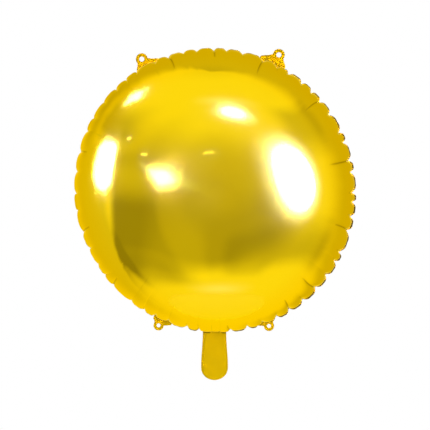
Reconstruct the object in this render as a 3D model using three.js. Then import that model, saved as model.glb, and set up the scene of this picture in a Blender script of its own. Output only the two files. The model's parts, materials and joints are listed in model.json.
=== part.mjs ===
// Round foil balloon, inflated: two welded film discs with four hanging tabs, a flat filling neck and the
// self-sealing valve inside it. Millimetres, +Z up, front face towards -Y, origin at the balloon's centre.

import * as THREE from "three";

// ---- driving dimensions ----
const FLAT_RADIUS = 225; // each disc before inflation: the common 18 inch (45 cm) size
const INFLATED_RATIO = 0.76276; // inflated rim radius over flat radius, for film that can't stretch
const RIM_RADIUS = FLAT_RADIUS * INFLATED_RATIO;
const FILM = 0.5; // wall thickness of the solids that stand for the film
const CLEARANCE = 0.3; // gap between solids that touch on the real balloon

const SEAM_WIDTH = 2.4; // welded band outside the inflated rim, in the valleys of its scallops
const SCALLOPS = 60; // gathers round the rim
const SCALLOP_HEIGHT = 2.4;

const NECK_ROOT_WIDTH = 29.6;
const NECK_END_WIDTH = 33.4;
const NECK_LENGTH = 59.4; // below its fold
const NECK_LEAF = 0.4; // thickness of one film leaf of the neck
const NECK_WELD_WIDTH = 3; // the edge weld along each side of the neck
const NECK_OPENING = 35; // stretch of the rim that stays unwelded for the neck

const VALVE_FILM = 0.25;
const VALVE_WIDTH = 30;
const VALVE_LENGTH = 80; // of its part inside the balloon
const VALVE_FLARE = VALVE_LENGTH / 4; // height over which it widens from the neck's width to its own

const HINGE_GAP = 0.6; // between a tab or the neck and what it folds on
const SEAM_RADIUS = RIM_RADIUS + SEAM_WIDTH;
const OUTER_RADIUS = SEAM_RADIUS + SCALLOP_HEIGHT;
const FOLD_RADIUS = OUTER_RADIUS + HINGE_GAP / 2; // how far from the balloon's centre the tabs and neck fold

// The two sizes of hanging tab. base is the width of the gusset where it leaves the seam, reach is how far
// beyond the fold the hole's middle lies, head and hole are radii.
const TOP_TAB = { base: 34, reach: 9.4, head: 7.4, hole: 3.2 };
const BOTTOM_TAB = { base: 24, reach: 5.2, head: 6.4, hole: 2.5 };
const TAB_BEND = 0.82; // how far up a side of the gusset its curve into the head has its middle
const TAB_HOLLOW = 0.14; // depth of that curve, as a share of the head's radius
const TAB_STRAIGHT = 0.7; // share of a side, up to that middle, that stays straight

// angle is from straight up, clockwise as seen from the front, to the middle of the base. lean is how far the
// gathers of the inflated rim pull the hole sideways, clockwise too.
const TABS = [
  { name: "hanging_tab_top_left", angle: -27.7, lean: -4.4, ...TOP_TAB },
  { name: "hanging_tab_top_right", angle: 24.5, lean: 3.1, ...TOP_TAB },
  { name: "hanging_tab_bottom_left", angle: -158.3, lean: 2.4, ...BOTTOM_TAB },
  { name: "hanging_tab_bottom_right", angle: 158.6, lean: -1.4, ...BOTTOM_TAB },
];

const DOME_SEGMENTS = 64;
const DOME_STEPS = 12;
const ARC_SEGMENTS = 6;

const radians = THREE.MathUtils.degToRad;

// ---- materials ----
const goldFilm = new THREE.MeshStandardMaterial({ color: 0xf2c314, roughness: 0.12, metalness: 1 });
const weldedFilm = new THREE.MeshStandardMaterial({ color: 0xdfb00c, roughness: 0.35, metalness: 0.9 });
const valveFilm = new THREE.MeshStandardMaterial({ color: 0xe9eef0, roughness: 0.25, metalness: 0 });

const balloon = new THREE.Group();

// Everything cut from the flat films lies in this group: x to the right, y up, z towards the front.
const filmPlane = new THREE.Group();
filmPlane.rotation.x = Math.PI / 2;
balloon.add(filmPlane);

function addMesh(parent, name, geometry, material) {
  const mesh = new THREE.Mesh(geometry, material);
  mesh.name = name;
  parent.add(mesh);
  return mesh;
}

// A flat sheet of film from its outline, its middle at the given distance in front of the rim's plane.
function sheetGeometry(shape, thickness, distance = 0) {
  const options = { depth: thickness, bevelEnabled: false, curveSegments: ARC_SEGMENTS };
  return new THREE.ExtrudeGeometry(shape, options).translate(0, 0, distance - thickness / 2);
}

// ---- the two inflated films ----

// Height of the inflated film above the rim's plane, where its slope has turned to the given angle:
// (RIM_RADIUS / 2) times the integral of sqrt(sin) from the angle to 90 degrees, by Simpson's rule.
function filmHeight(slope) {
  const intervals = 40;
  const step = (Math.PI / 2 - slope) / intervals;
  let sum = 0;
  for (let i = 0; i <= intervals; i++) {
    const weight = i === 0 || i === intervals ? 1 : i % 2 ? 4 : 2;
    sum += weight * Math.sqrt(Math.sin(slope + i * step));
  }
  return (RIM_RADIUS / 2) * (sum * step) / 3;
}

// Section of one dome from the middle of its face out to the rim and back, on the side where height > 0.
function domeSection() {
  const rimHeight = FILM / 2 + CLEARANCE;
  const outer = [];
  const inner = [];
  for (let i = 0; i <= DOME_STEPS; i++) {
    const slope = (Math.PI / 2) * (i / DOME_STEPS);
    const radius = RIM_RADIUS * Math.sqrt(Math.sin(slope));
    const height = Math.max(filmHeight(slope), rimHeight);
    outer.push(new THREE.Vector2(radius, height));
    const innerHeight = Math.max(height - FILM * Math.cos(slope), rimHeight);
    inner.push(new THREE.Vector2(radius - FILM * Math.sin(slope), innerHeight));
  }
  return { outer, inner };
}

function addDomes() {
  const { outer, inner } = domeSection();
  const mirrored = (points) => points.map((point) => new THREE.Vector2(point.x, -point.y));
  const front = [...mirrored(outer), ...mirrored(inner).reverse()];
  const back = [...inner, ...outer.toReversed()];
  addMesh(balloon, "front_panel", new THREE.LatheGeometry(front, DOME_SEGMENTS), goldFilm);
  addMesh(balloon, "back_panel", new THREE.LatheGeometry(back, DOME_SEGMENTS), goldFilm);
}

// ---- the welded rim ----

// The scallops stop beside each tab, where the band is plain and has its full width.
function isPlainBand(angle) {
  return TABS.some((tab) => {
    const halfSpan = Math.asin(tab.base / 2 / SEAM_RADIUS) + radians(2);
    return Math.abs(angle - radians(tab.angle)) < halfSpan;
  });
}

function addRimSeam() {
  const pointsPerScallop = 4;
  const count = SCALLOPS * pointsPerScallop;
  const halfOpening = Math.asin(NECK_OPENING / 2 / SEAM_RADIUS);
  const start = -Math.PI + halfOpening;
  const turn = 2 * (Math.PI - halfOpening);
  const shape = new THREE.Shape();
  for (let i = 0; i <= count; i++) {
    const angle = start + (turn * i) / count;
    const bulge = isPlainBand(angle) ? 1 : Math.abs(Math.sin((Math.PI * i) / pointsPerScallop));
    const radius = SEAM_RADIUS + SCALLOP_HEIGHT * bulge;
    const x = radius * Math.sin(angle);
    const y = radius * Math.cos(angle);
    if (i === 0) shape.moveTo(x, y);
    else shape.lineTo(x, y);
  }
  const innerCount = SCALLOPS * 2;
  const innerRadius = RIM_RADIUS - FILM;
  for (let i = innerCount; i >= 0; i--) {
    const angle = start + (turn * i) / innerCount;
    shape.lineTo(innerRadius * Math.sin(angle), innerRadius * Math.cos(angle));
  }
  shape.closePath();
  addMesh(filmPlane, "rim_seam", sheetGeometry(shape, FILM), weldedFilm);
}

// ---- the hanging tabs ----

// Outline of one tab, its fold along y = 0: a gusset with straight sides, rounded into a head with a hole.
function tabShape({ base, reach, head, hole, lean }) {
  const half = base / 2;
  const rootRadius = OUTER_RADIUS + HINGE_GAP;
  const rootAngle = Math.asin(half / rootRadius);
  const rootHeight = rootRadius * Math.cos(rootAngle) - FOLD_RADIUS;
  const neckAngle = radians(15); // where the sides meet the head, below its middle
  const contactHeight = reach - head * Math.sin(neckAngle);
  const side = (sign) => {
    const corner = new THREE.Vector2(sign * half, rootHeight);
    const contact = new THREE.Vector2(lean + sign * head * Math.cos(neckAngle), contactHeight);
    const bend = corner.clone().lerp(contact, TAB_BEND).add(new THREE.Vector2(0, -TAB_HOLLOW * head));
    return { corner, contact, bend, straightEnd: corner.clone().lerp(bend, TAB_STRAIGHT) };
  };
  const right = side(1);
  const left = side(-1);
  const shape = new THREE.Shape();
  shape.moveTo(right.corner.x, right.corner.y);
  shape.lineTo(right.straightEnd.x, right.straightEnd.y);
  shape.quadraticCurveTo(right.bend.x, right.bend.y, right.contact.x, right.contact.y);
  shape.absarc(lean, reach, head, -neckAngle, Math.PI + neckAngle, false);
  shape.quadraticCurveTo(left.bend.x, left.bend.y, left.straightEnd.x, left.straightEnd.y);
  shape.lineTo(left.corner.x, left.corner.y);
  shape.absarc(0, -FOLD_RADIUS, rootRadius, Math.PI / 2 + rootAngle, Math.PI / 2 - rootAngle, true);
  const punched = new THREE.Path();
  punched.absarc(lean, reach, hole, 0, 2 * Math.PI, true);
  shape.holes.push(punched);
  return shape;
}

function addTab(tab) {
  const turned = new THREE.Group();
  turned.rotation.z = -radians(tab.angle);
  filmPlane.add(turned);
  const options = { depth: FILM, bevelEnabled: false, curveSegments: 2 * ARC_SEGMENTS };
  const geometry = new THREE.ExtrudeGeometry(tabShape(tab), options).translate(0, 0, -FILM / 2);
  addMesh(turned, tab.name, geometry, weldedFilm).position.y = FOLD_RADIUS;
}

// ---- the filling neck: two leaves, their edge welds, and the valve's two films between them ----

const VALVE_DISTANCE = (CLEARANCE + VALVE_FILM) / 2;
const LEAF_DISTANCE = VALVE_DISTANCE + VALVE_FILM / 2 + CLEARANCE + NECK_LEAF / 2;
const FOLD_ROOM = LEAF_DISTANCE + NECK_LEAF / 2 + CLEARANCE; // kept free above the fold, for a leaf to turn

// The neck's outline, its fold along y = 0, drawn in from its sides by the given inset.
function neckShape(inset) {
  const top = -CLEARANCE;
  const rootHalf = NECK_ROOT_WIDTH / 2 - inset;
  const endHalf = NECK_END_WIDTH / 2 - inset;
  const roundHeight = -(NECK_LENGTH - NECK_END_WIDTH / 2);
  const shape = new THREE.Shape();
  shape.moveTo(-rootHalf, top);
  shape.lineTo(-endHalf, roundHeight);
  shape.absarc(0, roundHeight, endHalf, Math.PI, 2 * Math.PI, false);
  shape.lineTo(rootHalf, top);
  shape.closePath();
  return shape;
}

// One edge weld: a strip between the leaves, from the root to where the round end of the neck begins.
function edgeWeldShape(side) {
  const top = -CLEARANCE;
  const bottom = -(NECK_LENGTH - NECK_END_WIDTH / 2);
  const rootHalf = NECK_ROOT_WIDTH / 2;
  const endHalf = NECK_END_WIDTH / 2;
  const corners = [
    [rootHalf, top],
    [rootHalf - NECK_WELD_WIDTH, top],
    [endHalf - NECK_WELD_WIDTH, bottom],
    [endHalf, bottom],
  ];
  return new THREE.Shape(corners.map(([x, y]) => new THREE.Vector2(side * x, y)));
}

function addNeck() {
  const neck = new THREE.Group();
  neck.position.y = -FOLD_RADIUS;
  filmPlane.add(neck);

  const leaf = neckShape(0);
  addMesh(neck, "neck_front_leaf", sheetGeometry(leaf, NECK_LEAF, LEAF_DISTANCE), weldedFilm);
  addMesh(neck, "neck_back_leaf", sheetGeometry(leaf, NECK_LEAF, -LEAF_DISTANCE), weldedFilm);

  const weldThickness = 2 * (LEAF_DISTANCE - NECK_LEAF / 2 - CLEARANCE);
  addMesh(neck, "neck_left_weld", sheetGeometry(edgeWeldShape(-1), weldThickness), weldedFilm);
  addMesh(neck, "neck_right_weld", sheetGeometry(edgeWeldShape(1), weldThickness), weldedFilm);

  const inlet = neckShape(NECK_WELD_WIDTH + CLEARANCE);
  addMesh(neck, "valve_inlet_front", sheetGeometry(inlet, VALVE_FILM, VALVE_DISTANCE), valveFilm);
  addMesh(neck, "valve_inlet_back", sheetGeometry(inlet, VALVE_FILM, -VALVE_DISTANCE), valveFilm);
}

// Between the inflated rim and the fold the neck's two leaves belong to the envelope.
function addNeckRoot() {
  const half = NECK_ROOT_WIDTH / 2;
  const top = -(RIM_RADIUS + CLEARANCE);
  const bottom = -FOLD_RADIUS + FOLD_ROOM;
  const corners = [
    [-half, bottom],
    [half, bottom],
    [half, top],
    [-half, top],
  ];
  const shape = new THREE.Shape(corners.map(([x, y]) => new THREE.Vector2(x, y)));
  addMesh(filmPlane, "neck_root_front", sheetGeometry(shape, NECK_LEAF, LEAF_DISTANCE), weldedFilm);
  addMesh(filmPlane, "neck_root_back", sheetGeometry(shape, NECK_LEAF, -LEAF_DISTANCE), weldedFilm);
}

// The part of the valve that lies inside the balloon: two films that widen a little towards their free end.
function addValveSleeve() {
  const bottom = -FOLD_RADIUS + FOLD_ROOM;
  const top = bottom + VALVE_LENGTH;
  const rootHalf = NECK_ROOT_WIDTH / 2 - NECK_WELD_WIDTH;
  const endHalf = VALVE_WIDTH / 2;
  const shape = new THREE.Shape();
  shape.moveTo(-rootHalf, bottom);
  shape.lineTo(rootHalf, bottom);
  shape.lineTo(endHalf, bottom + VALVE_FLARE);
  shape.lineTo(endHalf, top);
  shape.lineTo(-endHalf, top);
  shape.lineTo(-endHalf, bottom + VALVE_FLARE);
  shape.closePath();
  addMesh(filmPlane, "valve_sleeve_front", sheetGeometry(shape, VALVE_FILM, VALVE_DISTANCE), valveFilm);
  addMesh(filmPlane, "valve_sleeve_back", sheetGeometry(shape, VALVE_FILM, -VALVE_DISTANCE), valveFilm);
}

addDomes();
addRimSeam();
TABS.forEach(addTab);
addNeck();
addNeckRoot();
addValveSleeve();

export default balloon;
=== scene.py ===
"""Looks of the round foil balloon: gathered gold film, wavy seam, punched tabs, flat neck and clear valve.

Everything is in metres in the CAD model's frame: +Z up, the front face towards -Y, the origin at the
balloon's centre. Angles round the rim run clockwise from straight up, as seen from the front.
"""

import json
import math

import bpy
import numpy as np
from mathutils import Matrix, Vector


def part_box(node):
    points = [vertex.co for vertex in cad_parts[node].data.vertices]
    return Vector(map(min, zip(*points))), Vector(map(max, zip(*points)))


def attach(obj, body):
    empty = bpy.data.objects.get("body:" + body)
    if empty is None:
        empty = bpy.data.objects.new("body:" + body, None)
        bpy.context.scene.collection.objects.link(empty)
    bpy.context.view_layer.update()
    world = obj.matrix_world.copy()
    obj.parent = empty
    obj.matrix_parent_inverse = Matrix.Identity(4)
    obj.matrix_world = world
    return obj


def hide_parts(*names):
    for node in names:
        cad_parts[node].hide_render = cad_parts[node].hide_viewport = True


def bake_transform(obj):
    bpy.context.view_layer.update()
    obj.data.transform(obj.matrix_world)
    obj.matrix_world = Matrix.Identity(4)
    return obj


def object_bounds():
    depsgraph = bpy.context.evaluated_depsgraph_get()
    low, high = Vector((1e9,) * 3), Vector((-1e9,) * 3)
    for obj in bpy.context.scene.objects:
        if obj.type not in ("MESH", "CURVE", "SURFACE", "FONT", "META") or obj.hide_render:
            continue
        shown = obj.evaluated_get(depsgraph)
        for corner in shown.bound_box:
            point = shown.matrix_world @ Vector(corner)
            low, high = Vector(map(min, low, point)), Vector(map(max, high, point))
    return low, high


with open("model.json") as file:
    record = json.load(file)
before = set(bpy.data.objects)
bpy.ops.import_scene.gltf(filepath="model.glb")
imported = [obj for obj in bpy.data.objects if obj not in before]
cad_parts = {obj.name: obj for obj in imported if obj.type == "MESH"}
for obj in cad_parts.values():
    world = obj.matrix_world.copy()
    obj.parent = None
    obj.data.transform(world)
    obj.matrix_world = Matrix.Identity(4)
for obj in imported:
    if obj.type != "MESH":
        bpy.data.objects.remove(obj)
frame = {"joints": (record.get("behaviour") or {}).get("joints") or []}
cad_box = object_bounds()

MM = 0.001
TURN = 2 * math.pi

# ---- sizes taken from the CAD model ----
panel_low, panel_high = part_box("front_panel")
RIM_RADIUS = (panel_high.x - panel_low.x) / 2
joints = {joint["name"]: joint for joint in frame["joints"]}
FOLD_RADIUS = -joints["neck_fold"]["pos_m"][2]
neck_low, neck_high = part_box("neck_front_leaf")
NECK_BOTTOM = neck_low.z
NECK_END_HALF = neck_high.x

# ---- the gathered rim ----
LOBES = 56
LOBE_COLUMNS = 12
FILM_ROWS = 54
FILM = 0.12 * MM
TAB_FILM = 0.24 * MM
FLANGE_FILM = 0.22 * MM
NECK_FILM = 0.16 * MM
VALVE_FILM = 0.05 * MM
POLE_RADIUS = 6 * MM
OVAL = 0.0126  # the filled balloon is this much longer towards its upper left than across that
OVAL_ANGLE = math.radians(-32)

# Where the photograph shows a gather running on up the face, in degrees, and how far along the film, in mm.
LONG_GATHERS = (
    (-133.2, 40),
    (-107.8, 44),
    (-74.1, 40),
    (-19.3, 58),
    (-0.2, 44),
    (21.0, 62),
    (50.0, 66),
    (77.6, 70),
    (107.0, 60),
    (133.9, 62),
    (148.0, 52),
)
# Gathers beside the neck: the film runs smoothly into it between the middle two.
NECK_GATHERS = (-173.8, -178.8, 177.6, 173.6)

# ---- the tabs: where each stands, and how its hole lies beyond the fold, in degrees and mm ----
TABS = {
    "tab_top_left": dict(angle=-27.7, lean=-4.4, base=34, reach=9.4, head=7.4, hole=3.2),
    "tab_top_right": dict(angle=24.5, lean=3.1, base=34, reach=9.4, head=7.4, hole=3.2),
    "tab_bottom_left": dict(angle=-158.3, lean=2.4, base=24, reach=5.2, head=6.4, hole=2.5),
    "tab_bottom_right": dict(angle=158.6, lean=-1.4, base=24, reach=5.2, head=6.4, hole=2.5),
}
TAB_ROOT = 8.5  # how far a tab's root runs in behind its fold, in mm
# How much painted shade each tab takes all over, towards the dark shade colour: fitted to the photograph's
# colours.
TAB_SHADE = {
    "tab_top_left": 0.42,
    "tab_top_right": 0.42,
    "tab_bottom_left": 0.05,
    "tab_bottom_right": 0.05,
}

# ---- the valve inside: half widths of its two ends ----
VALVE_WAIST = 11.4 * MM
VALVE_END = 13 * MM


# ---------------------------------------------------------------- mesh helpers


def smoothstep(low, high, value):
    t = np.clip((value - low) / (high - low), 0, 1)
    return t * t * (3 - 2 * t)


def wrap(angle):
    """The same angle between -pi and pi."""
    return (angle + math.pi) % TURN - math.pi


def new_object(name, points, faces, smooth=True):
    mesh = bpy.data.meshes.new(name)
    mesh.from_pydata([tuple(p) for p in points], [], faces)
    mesh.validate()
    for polygon in mesh.polygons:
        polygon.use_smooth = smooth
    piece = bpy.data.objects.new(name, mesh)
    bpy.context.scene.collection.objects.link(piece)
    return piece


def grid_faces(rows, columns, closed):
    """Quads of a grid stored row by row. A closed grid joins its last column to its first."""
    faces = []
    for row in range(rows - 1):
        for column in range(columns if closed else columns - 1):
            right = (column + 1) % columns
            start = row * columns
            above = start + columns
            faces.append((start + column, start + right, above + right, above + column))
    return faces


def apply_modifiers(piece):
    graph = bpy.context.evaluated_depsgraph_get()
    mesh = bpy.data.meshes.new_from_object(piece.evaluated_get(graph))
    piece.modifiers.clear()
    piece.data = mesh


def thicken(piece, thickness, offset):
    """Gives an open sheet a closed thickness. offset is -1 to grow behind its faces, 0 to both sides."""
    solid = piece.modifiers.new("film", "SOLIDIFY")
    solid.thickness = thickness
    solid.offset = offset
    apply_modifiers(piece)


def add_values(piece, name, values):
    """Stores one number per point, for the material to read."""
    attribute = piece.data.attributes.new(name, "FLOAT", "POINT")
    attribute.data.foreach_set("value", np.asarray(values, np.float32))


def finish_piece(piece, material):
    piece.data.materials.clear()
    piece.data.materials.append(material)
    return piece


# ---------------------------------------------------------------- the inflated shape


def meridian():
    """Slope, radius and height of the ideal inflated film by its distance from the rim along the film."""
    root = np.linspace(0, math.sqrt(math.pi / 2), 4000)
    slope = root**2
    sine = np.sin(slope)
    # with slope = root^2 the arc's length is the integral of RIM_RADIUS * root / sqrt(sin)
    pace = RIM_RADIUS * np.divide(root, np.sqrt(sine), out=np.ones_like(root), where=sine > 0)
    step = root[1] - root[0]
    arc = np.concatenate([[0], np.cumsum((pace[1:] + pace[:-1]) / 2 * step)])
    fall = RIM_RADIUS * np.sqrt(sine) * root
    drop = np.concatenate([[0], np.cumsum((fall[1:] + fall[:-1]) / 2 * step)])
    distance = arc[-1] - arc
    return distance[::-1], slope[::-1], (drop[-1] - drop)[::-1]


MERIDIAN = meridian()


def film_section(distance):
    """Slope, radius and height at these distances from the rim."""
    known, slopes, heights = MERIDIAN
    slope = np.interp(distance, known, slopes)
    height = np.interp(distance, known, heights)
    return slope, RIM_RADIUS * np.sqrt(np.sin(slope)), height


def make_gathers(rng):
    """Angles of the gathers: evenly spread and jittered, but where the photograph shows one, that."""
    fixed = [math.radians(angle) for angle, length in LONG_GATHERS]
    fixed += [math.radians(angle) for angle in NECK_GATHERS]
    even = -math.pi + TURN * (np.arange(LOBES) + rng.uniform(-0.3, 0.3, LOBES)) / LOBES
    space = 0.72 * TURN / LOBES
    free = [a for a in even if all(abs(wrap(a - f)) > space for f in fixed)]
    angles = np.sort(np.array(free + fixed) % TURN)
    # a gap that the fixed gathers have opened too wide gets one more in its middle
    gaps = np.diff(np.append(angles, angles[0] + TURN))
    wide = gaps > 1.55 * TURN / LOBES
    extra = angles[wide] + gaps[wide] / 2
    return np.sort(np.append(angles, extra) % TURN)


def lobe_at(angle, gathers):
    """Which lobe an angle lies in, and where: -1 at its first gather, 0 at its crest, 1 at its last."""
    turned = (np.asarray(angle) - gathers[0]) % TURN
    starts = gathers - gathers[0]
    lobe = np.searchsorted(starts, turned, side="right") - 1
    ends = np.append(starts[1:], TURN)
    place = 2 * (turned - starts[lobe]) / (ends[lobe] - starts[lobe]) - 1
    return lobe, place


def near_any(angle, places):
    """1 at the middle of any of the (angle, half width) places, falling to 0 beyond its half width."""
    total = np.zeros_like(angle)
    for middle, half in places:
        total = np.maximum(total, 1 - smoothstep(0.8 * half, 1.2 * half, np.abs(wrap(angle - middle))))
    return total


TAB_PLACES = [
    (math.radians(tab["angle"]), tab["base"] * MM / 2 / FOLD_RADIUS) for tab in TABS.values()
]
NECK_PLACE = [(math.pi, 18 * MM / FOLD_RADIUS)]

shape_rng = np.random.default_rng(20)
GATHERS = make_gathers(shape_rng)
LOBE_COUNT = len(GATHERS)
GATHER_WAVE = shape_rng.uniform(1.7, 3.0, LOBE_COUNT) * MM
CREST_WAVE = shape_rng.uniform(1.6, 3.0, LOBE_COUNT) * MM
CREST_BULGE = shape_rng.uniform(2.6, 3.5, LOBE_COUNT) * MM
SCALLOP_DEPTH = shape_rng.uniform(0.15, 1.0, LOBE_COUNT)
SEAM_STEP = shape_rng.uniform(-0.35, 0.35, LOBE_COUNT) * MM


def calm(angle):
    """How much of the rim's waviness is left: less where a tab or the neck holds the film flat."""
    return (1 - 0.55 * near_any(angle, TAB_PLACES)) * (1 - 0.75 * near_any(angle, NECK_PLACE))


def right_share(angle):
    """0 at the far left to 1 at the far right: the photograph's rim is rounder and more open on the right."""
    return 0.5 + 0.5 * np.sin(angle - math.radians(15))


def scallop(angle, place):
    """How far the outline stands out: 1 at crests, falling at gathers, less deeply on the left."""
    lobe = lobe_at(angle, GATHERS)[0]
    right = right_share(angle)
    depth = SCALLOP_DEPTH[lobe] * (1 - right) + right
    depth = depth * (0.65 + 0.35 * right) * (1 - 0.8 * near_any(angle, NECK_PLACE))
    return 1 - depth * np.abs(place) ** 2.2


def seam_line(angle):
    """Radius of the welded seam, and how far it lies behind the rim's plane: back at crests."""
    lobe, place = lobe_at(angle, GATHERS)
    after = (lobe + 1) % LOBE_COUNT
    share = (place + 1) / 2
    forward = GATHER_WAVE[lobe] * (1 - share) + GATHER_WAVE[after] * share
    behind = CREST_WAVE[lobe]
    wave = -forward + (behind + forward) * (np.cos(math.pi * place) + 1) / 2
    uneven = SEAM_STEP[lobe] * (1 - share) + SEAM_STEP[after] * share
    pinch = 2.2 * MM * scallop(angle, place) - 1.0 * MM
    return RIM_RADIUS + pinch + uneven, wave * calm(angle)


def oval(angle):
    return 1 + OVAL * np.cos(2 * (angle - OVAL_ANGLE))


def lobe_profile(distance, decay):
    """How much of a lobe's bulge shows: little on the seam, all of it 5 mm in, then fading up the face."""
    rise = 0.2 + 0.8 * smoothstep(0, 5 * MM, distance)
    return rise * np.exp(-((distance / decay) ** 1.5))


def soft_waves(points, rng):
    """A gentle unevenness of the taut face, 7 to 14 cm from crest to crest."""
    total = np.zeros(len(points))
    for _ in range(9):
        heading = rng.uniform(0, math.pi)
        length = rng.uniform(70, 140) * MM
        phase = rng.uniform(0, TURN)
        along = points[:, 0] * math.cos(heading) + points[:, 2] * math.sin(heading)
        total += np.sin(TURN * along / length + phase)
    return total / 3


def film_edge(angle):
    """Radius of the front film's outline, seen from the front, and how near each angle is to a crest."""
    lobe, place = lobe_at(angle, GATHERS)
    crest = 1 - np.abs(place) ** 2.2
    bulge = 0.88 * CREST_BULGE[lobe] * scallop(angle, place) + 0.73 * (seam_line(angle)[0] - RIM_RADIUS)
    return (RIM_RADIUS + bulge) * oval(angle), crest


def contact_shade(x, z, width=1.2 * MM):
    """1 on a line just outside the front film's crests, where the film overhangs what lies behind it."""
    edge, crest = film_edge(np.arctan2(x, z))
    apart = np.hypot(x, z) - edge - 0.4 * width
    return np.exp(-((apart / width) ** 2)) * smoothstep(0.2, 0.6, crest)


def film_piece(name, side, gathers, long_gathers, rng):
    """One film disc: side is -1 for the front film and 1 for the back one."""
    count = len(gathers)
    t = (1 - np.cos(math.pi * np.arange(LOBE_COLUMNS) / LOBE_COLUMNS)) / 2
    spans = np.diff(np.append(gathers, gathers[0] + TURN))
    lobe = np.repeat(np.arange(count), LOBE_COLUMNS)
    share = np.tile(t, count)
    angle = gathers[lobe] + spans[lobe] * share
    place = 2 * share - 1
    after = (lobe + 1) % count

    rows = np.linspace(0, 1, FILM_ROWS)
    full = MERIDIAN[0][-1]
    distance = full * rows**1.65
    slope, radius, height = film_section(distance)
    last = int(np.sum(radius > POLE_RADIUS))
    distance, slope, radius, height = (a[:last, None] for a in (distance, slope, radius, height))

    # gathers: a sharp groove each, which leans a little as it runs up the face
    depth = rng.uniform(0.5, 1.3, count) * MM
    length = rng.uniform(20, 34, count) * MM
    for place_angle, reach in long_gathers:
        nearest = int(np.argmin(np.abs(wrap(gathers - math.radians(place_angle)))))
        depth[nearest] = 1.7 * MM
        length[nearest] = reach * MM
    depth = depth * (1 - 0.85 * near_any(gathers, NECK_PLACE))
    lean = rng.uniform(-0.6, 0.6, count)
    slant = lean[lobe] * (1 - share) + lean[after] * share
    turned = angle[None, :] + slant[None, :] * distance * smoothstep(110 * MM, 30 * MM, distance)

    crest = CREST_BULGE if side < 0 else 0.85 * CREST_BULGE
    decay = rng.uniform(15, 27, count) * MM
    bulge = crest[lobe] * scallop(angle, place)
    out = bulge[None, :] * lobe_profile(distance, decay[lobe][None, :])

    for end, which in ((-1, lobe), (1, after)):
        apart = (np.abs(place - end) / 2 * spans[lobe])[None, :] * np.maximum(radius, 0.3 * RIM_RADIUS)
        fade = np.clip(1 - distance / length[which][None, :], 0, 1)
        out = out - depth[which][None, :] * np.exp(-apart / (1.3 * MM)) * fade**0.8
        flute = np.exp(-((apart / (6 * MM)) ** 2)) * np.exp(-distance / (1.5 * length[which][None, :]))
        rise = smoothstep(0, 12 * MM, distance)
        out = out - 0.45 * MM * flute * rise * smoothstep(95 * MM, 45 * MM, distance)

    flat_x = radius * np.sin(turned)
    flat_z = radius * np.cos(turned)
    flat = np.stack([flat_x.ravel(), np.zeros(flat_x.size), flat_z.ravel()], 1)
    wobble = soft_waves(flat, rng).reshape(flat_x.shape)
    out = out + 0.24 * MM * wobble * smoothstep(12 * MM, 60 * MM, distance)

    seam_radius, seam_y = seam_line(angle)
    settle = np.exp(-((distance / (9 * MM)) ** 2))
    radial = radius + out * np.sin(slope) + (seam_radius - RIM_RADIUS)[None, :] * settle
    radial = radial * oval(turned)
    y = side * (height + out * np.cos(slope)) + seam_y[None, :] * settle
    points = np.stack([radial * np.sin(turned), y, radial * np.cos(turned)], -1)

    columns = len(angle)
    faces = grid_faces(last, columns, True)
    pole = last * columns
    inner = (last - 1) * columns
    for column in range(columns):
        faces.append((inner + column, inner + (column + 1) % columns, pole))
    if side > 0:
        faces = [face[::-1] for face in faces]
    middle = np.array([[0, side * MERIDIAN[2][-1], 0]])
    piece = new_object(name, np.concatenate([points.reshape(-1, 3), middle]), faces)
    # painted shade: each gather's groove is darkened along its length, fading up the face; fully for the long
    # gathers, elsewhere more on the right, and not by the neck
    shade_and_seal = np.zeros_like(out)
    for end, which in ((-1, lobe), (1, after)):
        apart = (np.abs(place - end) / 2 * spans[lobe])[None, :] * radius
        fade = np.clip(1 - distance / length[which][None, :], 0, 1)
        shade = np.where(length > 38 * MM, 1.0, 0.2 + 0.6 * right_share(gathers))
        shade = (shade * (1 - near_any(gathers, NECK_PLACE)))[which][None, :]
        shade_and_seal = np.maximum(shade_and_seal, shade * np.exp(-((apart / (0.9 * MM)) ** 2)) * fade**0.4)
    # near the rim: for the crinkles there, and for a painted warmer reflection colour
    rim = np.exp(-distance / (14 * MM)) * np.ones_like(out)
    face = smoothstep(40 * MM, 95 * MM, distance) * np.ones_like(out)
    add_values(piece, "shade_and_seal", np.append(shade_and_seal.ravel(), 0))
    add_values(piece, "rim", np.append(rim.ravel(), 0))
    add_values(piece, "face", np.append(face.ravel(), 1))
    thicken(piece, FILM, -1)
    return piece


def seam_piece(name):
    """The welded flange outside the seam: narrow at the gathers, wider at the crests, open at the neck."""
    half_opening = 16.5 * MM / FOLD_RADIUS
    columns = LOBE_COUNT * 14
    angle = math.pi + half_opening + (TURN - 2 * half_opening) * np.linspace(0, 1, columns)
    lobe, place = lobe_at(angle, GATHERS)
    radius, y = seam_line(angle)
    quiet = 1 - 0.8 * near_any(angle, TAB_PLACES)
    crest = 1 - np.abs(place) ** 2.6
    side_share = right_share(angle)
    width = (0.4 + (2.2 + 2.4 * side_share) * crest) * MM * quiet
    tilt = math.radians(26) * np.cos(math.pi * place) * quiet
    ends = smoothstep(0, 3 * MM / RIM_RADIUS, np.minimum(angle - angle[0], angle[-1] - angle))
    width = width * (0.25 + 0.75 * ends)
    across = np.linspace(-0.35, 1, 5)[:, None]
    reach = across * width[None, :]
    ripple = 0.12 * MM * np.sin(angle * 331) * np.clip(across, 0, 1)
    radial = (radius[None, :] + reach * np.cos(tilt)[None, :]) * oval(angle)[None, :]
    depth = y[None, :] + reach * np.sin(tilt)[None, :] + ripple
    points = np.stack([radial * np.sin(angle), depth, radial * np.cos(angle)], -1)
    piece = new_object(name, points.reshape(-1, 3), grid_faces(5, columns, False))
    # painted shade: a dark crescent on the flange behind each crest, stronger on the right and weak at the
    # tabs, and darker at the gathers
    crescent_shade = crest * (0.2 + 0.8 * side_share) * quiet
    add_values(piece, "shade_and_seal", np.maximum(crescent_shade, 0.5 * (1 - crest))[None, :].repeat(5, 0).ravel())
    thicken(piece, FLANGE_FILM, 0)
    return piece


# ---------------------------------------------------------------- tabs and neck


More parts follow.
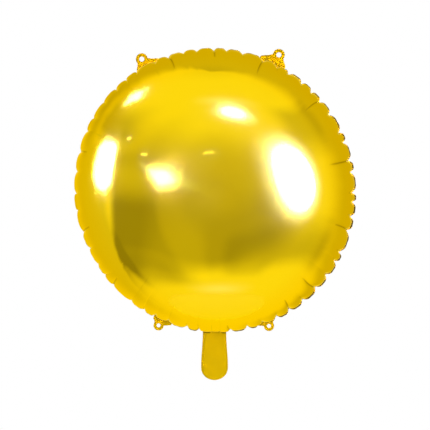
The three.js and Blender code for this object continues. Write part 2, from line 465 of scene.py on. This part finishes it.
def tab_outline(base, reach, head, lean, root):
    """Points of a tab's outline in mm: x along the fold, y outwards, the root tucked behind the film."""
    half = base / 2
    dip = math.radians(15)
    points = []
    for sign in (1, -1):
        corner = np.array([sign * half, -0.3])
        contact = np.array([lean + sign * head * math.cos(dip), reach - head * math.sin(dip)])
        bend = corner + 0.82 * (contact - corner) + np.array([0, -0.14 * head])
        straight = corner + 0.7 * (bend - corner)
        line = [corner + s * (straight - corner) for s in np.linspace(0, 1, 9)[:-1]]
        curve = [
            (1 - s) ** 2 * straight + 2 * s * (1 - s) * bend + s * s * contact
            for s in np.linspace(0, 1, 9)
        ]
        points.append(line + curve)
    right, left = points
    arc = [
        np.array([lean + head * math.cos(a), reach + head * math.sin(a)])
        for a in np.linspace(-dip, math.pi + dip, 34)[1:-1]
    ]
    skirt = [np.array([-half + s * base, -root]) for s in np.linspace(0, 1, 25)]
    sides = [np.array([-half, -0.3 - s * (root - 0.3)]) for s in np.linspace(0, 1, 6)[1:-1]]
    other = [np.array([half, -0.3 - s * (root - 0.3)]) for s in np.linspace(1, 0, 6)[1:-1]]
    return np.array(right + arc + left[::-1] + sides + skirt + other)


def tab_piece(name, body, tab):
    """One punched tab: rings of points from its hole to its outline, bent to follow the rim at its root."""
    outline = tab_outline(tab["base"], tab["reach"], tab["head"], tab["lean"], TAB_ROOT)
    middle = np.array([tab["lean"], tab["reach"]])
    ray = outline - middle
    far = np.linalg.norm(ray, axis=1, keepdims=True)
    inner = tab["hole"] * ray / far
    shares = np.array([0, 0.05, 0.12, 0.22, 0.34, 0.46, 0.58, 0.7, 0.8, 0.9, 0.96, 1.0])
    rings = [middle + inner + s * (ray - inner) for s in shares]
    flat = np.array(rings).reshape(-1, 2) * MM
    middle_angle = math.radians(tab["angle"])
    rise = FOLD_RADIUS + flat[:, 1]
    # the root follows the rim round, the head keeps its punched shape
    follow = 1 - smoothstep(-1 * MM, 2 * MM, flat[:, 1])
    sag = (rise - np.sqrt(np.maximum(rise**2 - flat[:, 0] ** 2, 0))) * follow
    outward = rise - sag
    x = outward * math.sin(middle_angle) + flat[:, 0] * math.cos(middle_angle)
    z = outward * math.cos(middle_angle) - flat[:, 0] * math.sin(middle_angle)
    angle = np.arctan2(x, z)
    seam_y = seam_line(angle)[1]
    held = 1 - smoothstep(-4 * MM, 3.5 * MM, flat[:, 1])
    buckle = 0.2 * MM * np.sin(flat[:, 0] / (4.5 * MM) + tab["angle"]) * smoothstep(7 * MM, 0, flat[:, 1])
    curl = 0.5 * MM * (flat[:, 1] / (15 * MM)) ** 2
    y = seam_y * held * 0.8 + buckle + curl
    columns = len(outline)
    faces = [face[::-1] for face in grid_faces(len(shares), columns, True)]
    piece = new_object(name, np.stack([x, y, z], 1), faces)
    # painted shade: each tab is darkened all over by its TAB_SHADE share, with a painted shadow line where
    # the film's crests overhang its root
    add_values(piece, "shade_and_seal", np.maximum(TAB_SHADE[body], contact_shade(x, z, 0.7 * MM)))
    thicken(piece, TAB_FILM, 0)
    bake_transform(piece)
    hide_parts("hanging_" + body)
    return piece


def neck_half_width(z):
    """Half the neck's width: a little wider towards its round end."""
    below = np.clip((-FOLD_RADIUS - z) / (-FOLD_RADIUS - NECK_BOTTOM), 0, 1)
    straight = NECK_END_HALF * (0.873 + 0.127 * smoothstep(0, 0.72, below))
    rounding = np.clip((NECK_BOTTOM + NECK_END_HALF - z) / NECK_END_HALF, 0, 1)
    return straight * np.sqrt(np.maximum(1 - rounding**2.3, 0))


def neck_gap(across, z):
    """How far a neck leaf stands off the middle plane: pressed at the welds, a little open between."""
    below = (-FOLD_RADIUS - z) / (-FOLD_RADIUS - NECK_BOTTOM)
    fullness = 0.75 + 0.5 * np.exp(-np.maximum(below, 0) * 4) + 0.12 * smoothstep(0.8, 1, below)
    weld = smoothstep(1.0, 0.72, np.abs(across))
    return (0.10 + fullness * weld) * MM


def neck_waves(x, z, side):
    below = (-FOLD_RADIUS - z) / (-FOLD_RADIUS - NECK_BOTTOM)
    soft = 0.35 * np.sin(z / (17 * MM) + 0.6) * smoothstep(0, 0.2, below)
    pull = 0.22 * np.sin(x / (3.4 * MM) + 0.5 * side) * np.exp(-np.maximum(below, 0) * 6)
    twist = 0.9 * (x / NECK_END_HALF) * smoothstep(0.1, 1, below)
    return (soft + pull + 0.35 * twist) * MM


def neck_leaf(name, side, replaced):
    """One leaf of the neck, from between the two films down to its round end."""
    across = np.linspace(-1, 1, 61)
    top = -(RIM_RADIUS - 5 * MM)
    down = 1 - (1 - np.linspace(0, 1, 76)) ** 1.35
    z_rows = top + (NECK_BOTTOM - top) * down
    z = z_rows[:, None] * np.ones((1, len(across)))
    half = np.maximum(neck_half_width(z_rows), 0.6 * MM)[:, None]
    x = across[None, :] * half
    ease = across[None, :] * np.ones_like(z)
    y = side * neck_gap(ease, z) + neck_waves(x, z, side)
    inside = smoothstep(-(RIM_RADIUS + 2 * MM), -(RIM_RADIUS - 5 * MM), z)
    y = y + side * 0.8 * MM * inside * (1 - np.abs(ease) ** 2)
    points = np.stack([x, y, z], -1).reshape(-1, 3)
    faces = grid_faces(len(z_rows), len(across), False)
    if side < 0:
        faces = [face[::-1] for face in faces]
    piece = new_object(name, points, faces)
    # painted shadow where the film's crests overhang the neck; the film runs on smoothly into the middle of
    # the neck, so little is painted there. The welded edges take a little of the dark colour of their own.
    beside = 0.2 + 0.8 * smoothstep(3 * MM, 5 * MM, np.abs(x - 1.5 * MM))
    seal = 0.10 * smoothstep(0.80, 0.86, np.abs(ease))
    add_values(piece, "shade_and_seal", np.maximum(contact_shade(x, z) * beside, seal).ravel())
    thicken(piece, NECK_FILM, 0)
    blend_at_neck(piece)
    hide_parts(*replaced)
    return piece


def blend_at_neck(piece):
    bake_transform(piece)


def valve_sheet(name, side, replaced):
    """One clear film of the valve: in the neck it lies flat, inside the balloon it waves a little."""
    low_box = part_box("valve_inlet_front")[0]
    sleeve_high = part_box("valve_sleeve_front")[1]
    across = np.linspace(-1, 1, 25)
    z_rows = np.linspace(sleeve_high.z, low_box.z + 0.4 * MM, 90)
    wide = sleeve_high.x
    depths = [-sleeve_high.z, 0.155, FOLD_RADIUS, -low_box.z]
    half = np.interp(-z_rows, depths, [wide, wide, VALVE_WAIST, VALVE_END])
    rounding = np.clip((low_box.z + VALVE_END - z_rows) / VALVE_END, 0, 1)
    half = half * np.sqrt(np.maximum(1 - rounding**2.3, 0.002))
    x = across[None, :] * half[:, None]
    z = z_rows[:, None] * np.ones_like(x)
    inside = smoothstep(-RIM_RADIUS, -0.14, z)
    apart = (0.10 + 0.1 * (1 - across**2)[None, :] + 0.5 * inside * (1 - across**2)[None, :]) * MM
    drift = (1.6 * np.sin(z / (11 * MM)) + 1.0 * np.sin(x / (7 * MM) + z / (23 * MM))) * MM * inside
    y = side * apart + drift + neck_waves(x, z, 0) * (1 - inside)
    points = np.stack([x, y, z], -1).reshape(-1, 3)
    faces = grid_faces(len(z_rows), len(across), False)
    if side < 0:
        faces = [face[::-1] for face in faces]
    piece = new_object(name, points, faces)
    thicken(piece, VALVE_FILM, 0)
    blend_at_neck(piece)
    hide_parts(*replaced)
    return piece


# ---------------------------------------------------------------- materials


class Nodes:
    """Short names for building a node tree."""

    def __init__(self, tree):
        self.tree = tree

    def add(self, kind, **inputs):
        node = self.tree.nodes.new(kind)
        for name, value in inputs.items():
            self.plug(node, name.replace("_", " "), value)
        return node

    def fill(self, socket, value):
        """Links another node's output to a socket, or sets the socket to a plain value."""
        if isinstance(value, bpy.types.NodeSocket):
            self.tree.links.new(value, socket)
        else:
            socket.default_value = value

    def plug(self, node, name, value):
        self.fill(node.inputs[name], value)

    def math(self, operation, a, b=0.0, c=0.0):
        node = self.tree.nodes.new("ShaderNodeMath")
        node.operation = operation
        for socket, value in zip(node.inputs, (a, b, c)):
            self.fill(socket, value)
        return node.outputs[0]

    def ramp(self, value, low, high, from_value=0.0, to_value=1.0):
        node = self.tree.nodes.new("ShaderNodeMapRange")
        node.interpolation_type = "SMOOTHSTEP"
        for name, item in zip(("Value", "From Min", "From Max", "To Min", "To Max"),
                              (value, low, high, from_value, to_value)):
            self.plug(node, name, item)
        return node.outputs["Result"]

    def mix(self, share, a, b):
        node = self.tree.nodes.new("ShaderNodeMix")
        node.data_type = "RGBA"
        for socket, value in ((node.inputs[0], share), (node.inputs[6], a), (node.inputs[7], b)):
            self.fill(socket, value)
        return node.outputs[2]

    def join(self, a, b):
        """Both shaders' light added up."""
        node = self.tree.nodes.new("ShaderNodeAddShader")
        self.tree.links.new(a, node.inputs[0])
        self.tree.links.new(b, node.inputs[1])
        return node.outputs[0]

    def noise(self, vector, scale, detail=2.0, roughness=0.5):
        node = self.add("ShaderNodeTexNoise", Vector=vector, Scale=scale, Detail=detail, Roughness=roughness)
        return node.outputs["Fac"]

    def bump(self, height, strength, distance, normal=None):
        node = self.add("ShaderNodeBump", Height=height, Strength=strength, Distance=distance)
        if normal is not None:
            self.plug(node, "Normal", normal)
        return node.outputs["Normal"]


def new_material(name):
    material = bpy.data.materials.new(name)
    material.use_nodes = True
    nodes = Nodes(material.node_tree)
    shader = material.node_tree.nodes["Principled BSDF"]
    coordinates = nodes.add("ShaderNodeTexCoord").outputs["Object"]
    return material, nodes, shader, coordinates


def read_values(nodes, name):
    node = nodes.add("ShaderNodeAttribute")
    node.attribute_name = name
    return node.outputs["Fac"]


def gold_film_material():
    """Polished metallised film: deep yellow gold, faint cloudiness, fine crinkles that gather at the rim."""
    material, nodes, shader, place = new_material("gold_film")
    cloud = nodes.noise(place, 9.0, 3.0)
    fine = nodes.noise(place, 60.0, 4.0)
    shade_and_seal = read_values(nodes, "shade_and_seal")
    rim = read_values(nodes, "rim")
    base = nodes.mix(nodes.ramp(cloud, 0.35, 0.65), (0.96, 0.658, 0.0008, 1), (0.94, 0.635, 0.0008, 1))
    # painted reflection colour: towards the rim the gold turns a deeper orange
    warm = nodes.mix(nodes.math("MULTIPLY", rim, 0.4), base, (0.92, 0.57, 0.002, 1))
    # painted shade: the gathers are darkened towards a dark brown
    dark = nodes.mix(nodes.math("MULTIPLY", shade_and_seal, 0.88), warm, (0.10, 0.05, 0.001, 1))
    nodes.plug(shader, "Base Color", dark)
    nodes.plug(shader, "Metallic", 1.0)
    shine = nodes.ramp(fine, 0.3, 0.7, 0.055, 0.075)
    nodes.plug(shader, "Roughness", nodes.math("ADD", shine, nodes.math("MULTIPLY", shade_and_seal, 0.15)))
    nodes.plug(shader, "Coat Weight", nodes.math("MULTIPLY", read_values(nodes, "face"), 0.2))
    nodes.plug(shader, "Coat Roughness", 0.14)
    nodes.plug(shader, "Specular Tint", (1.0, 0.84, 0.2, 1))
    crinkle = nodes.math("MULTIPLY", nodes.noise(place, 420.0, 2.0), nodes.math("ADD", rim, 0.10))
    taut = nodes.bump(nodes.noise(place, 34.0, 2.0), 0.05, 0.002)
    nodes.plug(shader, "Normal", nodes.bump(crinkle, 0.10, 0.0006, taut))
    return material


def welded_film_material():
    """The same film welded double: satin, a shade deeper, with the fine grain of the sealing bar."""
    material, nodes, shader, place = new_material("welded_gold_film")
    cloud = nodes.noise(place, 40.0, 3.0)
    shade_and_seal = read_values(nodes, "shade_and_seal")
    base = nodes.mix(nodes.ramp(cloud, 0.3, 0.7), (0.94, 0.622, 0.002, 1), (0.90, 0.592, 0.002, 1))
    # painted shade: the flange's crescents and gathers, the tabs, and the neck under the film's crests are
    # darkened towards a dark brown; the neck's welded edges take a little of it too
    dark = nodes.mix(nodes.math("MULTIPLY", shade_and_seal, 0.9), base, (0.05, 0.026, 0.001, 1))
    nodes.plug(shader, "Base Color", dark)
    nodes.plug(shader, "Metallic", 0.35)
    nodes.plug(shader, "Specular IOR Level", 0.1)
    nodes.plug(shader, "Roughness", nodes.ramp(nodes.noise(place, 160.0, 3.0), 0.3, 0.7, 0.42, 0.54))
    nodes.plug(shader, "Specular Tint", (1.0, 0.84, 0.2, 1))
    grain = nodes.bump(nodes.noise(place, 900.0, 2.0), 0.08, 0.0002)
    nodes.plug(shader, "Normal", nodes.bump(nodes.noise(place, 110.0, 2.0), 0.10, 0.0008, grain))
    return material


def valve_material():
    """Thin clear film, faintly milky, with fine crinkles."""
    material, nodes, shader, place = new_material("valve_film")
    cloud = nodes.noise(place, 70.0, 3.0)
    nodes.plug(shader, "Base Color", nodes.mix(cloud, (0.86, 0.89, 0.90, 1), (0.95, 0.96, 0.96, 1)))
    nodes.plug(shader, "Alpha", 0.45)
    nodes.plug(shader, "Roughness", nodes.ramp(cloud, 0.3, 0.7, 0.2, 0.32))
    nodes.plug(shader, "Normal", nodes.bump(nodes.noise(place, 260.0, 3.0), 0.25, 0.0006))
    return material


def floor_material():
    material, nodes, shader, _ = new_material("floor")
    nodes.plug(shader, "Base Color", (0.9, 0.9, 0.9, 1))
    nodes.plug(shader, "Roughness", 0.9)
    nodes.plug(shader, "Emission Color", (1, 1, 1, 1))
    nodes.plug(shader, "Emission Strength", 0.27)
    return material


# ---------------------------------------------------------------- studio


def add_floor():
    """A round pale floor well below the balloon."""
    level, radius, corners = cad_box[0].z - 1.12, 0.6, 96
    turns = [TURN * k / corners for k in range(corners)]
    points = [(radius * math.cos(t), radius * math.sin(t), level) for t in turns]
    floor = new_object("floor", points, [tuple(range(corners))], False)
    floor.data.materials.append(floor_material())


def heading(azimuth, elevation):
    """Unit vector of a direction in degrees: azimuth turns right from the side where the camera stands."""
    a, e = math.radians(azimuth), math.radians(elevation)
    return Vector((math.sin(a) * math.cos(e), -math.cos(a) * math.cos(e), math.sin(e)))


LIGHT_DISTANCE = 2.6


def add_card(name, corners, strength, margin, haze_strength=48):
    """A lit panel with these corners (azimuth, elevation). A haze fades over a margin outside them."""
    middle = np.mean(corners, axis=0)
    outer = [tuple(middle + (1 + margin) * (np.array(corner) - middle)) for corner in corners]
    points = [heading(*corner) * LIGHT_DISTANCE for corner in list(corners) + outer]
    count = len(corners)
    faces = [tuple(range(count))]
    faces += [(k, (k + 1) % count, count + (k + 1) % count, count + k) for k in range(count)]
    card = new_object(name, points, faces, False)
    add_values(card, "glow", [1] * count + [0] * count)
    material = bpy.data.materials.new(name)
    material.use_nodes = True
    nodes = Nodes(material.node_tree)
    glow = read_values(nodes, "glow")
    core = nodes.math("GREATER_THAN", glow, 0.995)
    haze = nodes.math("MULTIPLY", nodes.math("POWER", glow, 2.0), haze_strength)
    lamp = nodes.add("ShaderNodeEmission", Strength=nodes.math("MULTIPLY", core, strength))
    # a bluish haze: gold mirrors little of it, so it shows in the clear coat as a pale glow round the lamp
    halo = nodes.add("ShaderNodeEmission", Color=(0.0125, 0.021, 1, 1), Strength=haze)
    lit = nodes.join(lamp.outputs[0], halo.outputs[0])
    both = nodes.join(lit, nodes.add("ShaderNodeBsdfTransparent").outputs[0])
    nodes.plug(material.node_tree.nodes["Material Output"], "Surface", both)
    card.data.materials.append(material)
    card.visible_camera = False
    card.visible_diffuse = False
    return card


def oval_corners(azimuth, elevation, width, height, spin=0.0, corners=32):
    """Corners of an oval softbox of this many degrees across, turned clockwise by spin degrees."""
    turn = math.radians(spin)
    points = []
    for k in range(corners):
        across = width / 2 * math.cos(TURN * k / corners)
        up = height / 2 * math.sin(TURN * k / corners)
        x = across * math.cos(turn) + up * math.sin(turn)
        points.append((azimuth + x, elevation - across * math.sin(turn) + up * math.cos(turn)))
    return points


LAMP = 110  # strength of a softbox or window
LEFT_WINDOW = (
    (-67, 3), (-65, 12), (-66, 20), (-73, 23), (-92, 23), (-100, 17), (-100, 7), (-91, 1), (-77, -1),
)


def add_studio_lights(polished):
    """Softboxes and windows, placed where the film shows their reflections. They light polished film only."""
    cards = [
        add_card("key_softbox", oval_corners(43, 6.5, 41, 32, 10), LAMP, 0.6),
        add_card("top_light", oval_corners(12.5, 37.5, 14, 9.5), LAMP, 1.2),
        add_card("left_window", LEFT_WINDOW, LAMP, 0.15),
        add_card("front_strip", ((-29, 9.6), (-16, 7.8), (-9.5, 2.8), (-20, 2.7)), LAMP, 1.2),
        add_card("back_left_light", ((-98, 44), (-111, 47), (-94, 55), (-80, 51)), LAMP, 0.9),
        add_card("ceiling_spot_a", ((-36, 16.2), (-31.5, 16), (-31.5, 16.7), (-36, 17)), 1.2, 0.3),
        add_card("ceiling_spot_b", ((-3.2, 9.1), (0, 9.1), (0, 9.6), (-3.2, 9.6)), 1.2, 0.3),
        add_card("ceiling_spot_c", ((-55, 25), (-51, 25), (-51, 26.2), (-55, 26.2)), 1.5, 0.3),
        add_card("ceiling_glow", oval_corners(10, 47, 8, 2), 0, 7.0, 12),
        add_card("floor_glow", oval_corners(4, -60, 12, 3), 0, 6.0, 7),
    ]
    receivers = bpy.data.collections.new("polished_film")
    for piece in polished:
        receivers.objects.link(piece)
    for card in cards:
        card.light_linking.receiver_collection = receivers


def add_world():
    """A white studio by direction: bright ceiling and floor, greyer walls, a dark room behind the camera."""
    world = bpy.data.worlds.new("studio")
    bpy.context.scene.world = world
    world.use_nodes = True
    nodes = Nodes(world.node_tree)
    background = world.node_tree.nodes["Background"]
    direction = nodes.add("ShaderNodeTexCoord").outputs["Generated"]
    x, y, z = nodes.add("ShaderNodeSeparateXYZ", Vector=direction).outputs
    degrees = 180 / math.pi
    azimuth = nodes.math("MULTIPLY", nodes.math("ARCTAN2", x, nodes.math("MULTIPLY", y, -1.0)), degrees)
    elevation = nodes.math("MULTIPLY", nodes.math("ARCSINE", z), degrees)

    def band(value, rise_from, rise_to, fall_from, fall_to):
        up = nodes.ramp(value, rise_from, rise_to)
        return nodes.math("MULTIPLY", up, nodes.ramp(value, fall_from, fall_to, 1.0, 0.0))

    # the room's left wall leans out below the horizon, as seen from here
    below = nodes.math("MINIMUM", elevation, 0.0)
    lean = nodes.math("MULTIPLY_ADD", nodes.math("MULTIPLY", below, below), 0.022, azimuth)
    # each darker area: how much darker, which azimuth, then where its edges fade by azimuth and by elevation
    areas = (
        (0.37, lean, (-73, -61, 25, 70), (-48, -28, 4, 27)),  # the room behind the camera
        (0.19, lean, (-73, -61, 18, 55), (-48, -28, -7, 6)),  # its lower half
        (0.12, lean, (-73, -63, -36, -6), (-62, -42, -10, 2)),  # its darkest corner
        (0.42, azimuth, (-98, -80, -38, -4), (-61, -46, -44, -30)),  # that corner's floor
        (0.22, azimuth, (-72, -60, -30, -6), (6, 16, 20, 38)),  # a shelf above it
        (-0.09, azimuth, (-26, -18, -10, -2), (-56, -40, -6, 6)),  # a doorway, a little brighter
        (0.09, azimuth, (0, 8, 26, 44), (-48, -38, -18, -8)),  # and the dark beside it
        (0.14, azimuth, (2, 12, 26, 42), (-50, -42, -40, -28)),
        (0.40, azimuth, (14, 45, 92, 118), (-44, -31, -30, -4)),  # a counter on the right
        (0.32, azimuth, (32, 62, 95, 125), (14, 32, 40, 50)),  # a beam on the right
        (0.40, azimuth, (-138, -112, -72, -28), (20, 29, 34, 50)),  # a beam on the left
        (0.27, azimuth, (-175, -130, -86, -70), (-60, -38, 12, 34)),  # the left wall
        (0.35, azimuth, (-260, -250, -150, -116), (8, 26, 100, 110)),  # the back wall
        (0.34, azimuth, (78, 126, 250, 260), (8, 26, 100, 110)),
        (0.33, azimuth, (78, 126, 156, 180), (-44, -24, 8, 26)),
        (0.08, azimuth, (-260, -250, 250, 260), (70, 90, 100, 110)),  # the ceiling overhead
    )
    level = 1.03
    for depth, heading_angle, across, upright in areas:
        place = nodes.math("MULTIPLY", band(heading_angle, *across), band(elevation, *upright))
        level = nodes.math("SUBTRACT", level, nodes.math("MULTIPLY", place, depth))
    level = nodes.math("MAXIMUM", level, 0.3)
    behind = nodes.ramp(y, -0.35, 0.35)
    warm = nodes.mix(behind, (1.0, 1.0, 0.35, 1), (1.0, 0.94, 0.3, 1))
    # only mirrors see the room's warm tint, and the camera itself sees a plain white backdrop
    rays = nodes.add("ShaderNodeLightPath").outputs
    camera_ray = rays["Is Camera Ray"]
    nodes.plug(background, "Color", nodes.mix(rays["Is Glossy Ray"], (1.0, 1.0, 1.0, 1), warm))
    shown = nodes.math("SUBTRACT", 1.0, level)
    nodes.plug(background, "Strength", nodes.math("MULTIPLY_ADD", shown, camera_ray, level))


def add_camera():
    """Square on to the front and level, a little below the balloon's middle, so that the neck is in view."""
    lens, distance, drop = 150, 2.227, 0.031
    data = bpy.data.cameras.new("camera")
    data.lens = lens
    data.sensor_width = 36
    camera = bpy.data.objects.new("camera", data)
    camera.location = (0.0006, -distance, -drop)
    camera.rotation_euler = (math.pi / 2, 0, 0)
    bpy.context.scene.collection.objects.link(camera)
    bpy.context.scene.camera = camera


# ---------------------------------------------------------------- build


def build():
    gold = gold_film_material()
    welded = welded_film_material()
    clear = valve_material()
    rng = np.random.default_rng(7)

    front = film_piece("front_film", -1, GATHERS, LONG_GATHERS, rng)
    back = film_piece("back_film", 1, GATHERS, [(-a, reach) for a, reach in LONG_GATHERS], rng)
    for piece, node in ((front, "front_panel"), (back, "back_panel")):
        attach(piece, "envelope")
        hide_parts(node)
        finish_piece(piece, gold)

    seam = seam_piece("seam_flange")
    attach(seam, "envelope")
    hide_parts("rim_seam")
    finish_piece(seam, welded)

    satin = [seam]
    for body, tab in TABS.items():
        satin.append(finish_piece(tab_piece(body + "_film", body, tab), welded))

    neck_front = ("neck_front_leaf", "neck_root_front", "neck_left_weld", "neck_right_weld")
    neck_back = ("neck_back_leaf", "neck_root_back")
    satin.append(finish_piece(neck_leaf("neck_front_film", -1, neck_front), welded))
    satin.append(finish_piece(neck_leaf("neck_back_film", 1, neck_back), welded))

    valve_front = ("valve_sleeve_front", "valve_inlet_front")
    valve_back = ("valve_sleeve_back", "valve_inlet_back")
    valve = [finish_piece(valve_sheet("valve_front_film", -1, valve_front), clear)]
    valve.append(finish_piece(valve_sheet("valve_back_film", 1, valve_back), clear))

    add_floor()
    add_studio_lights((front, back))
    for piece in satin + valve:
        # the polished film mirrors the studio, but not the flange, tabs, neck or valve
        piece.visible_glossy = False
    add_world()
    add_camera()
    bpy.context.scene.view_settings.view_transform = "Standard"


build()
bpy.context.view_layer.update()
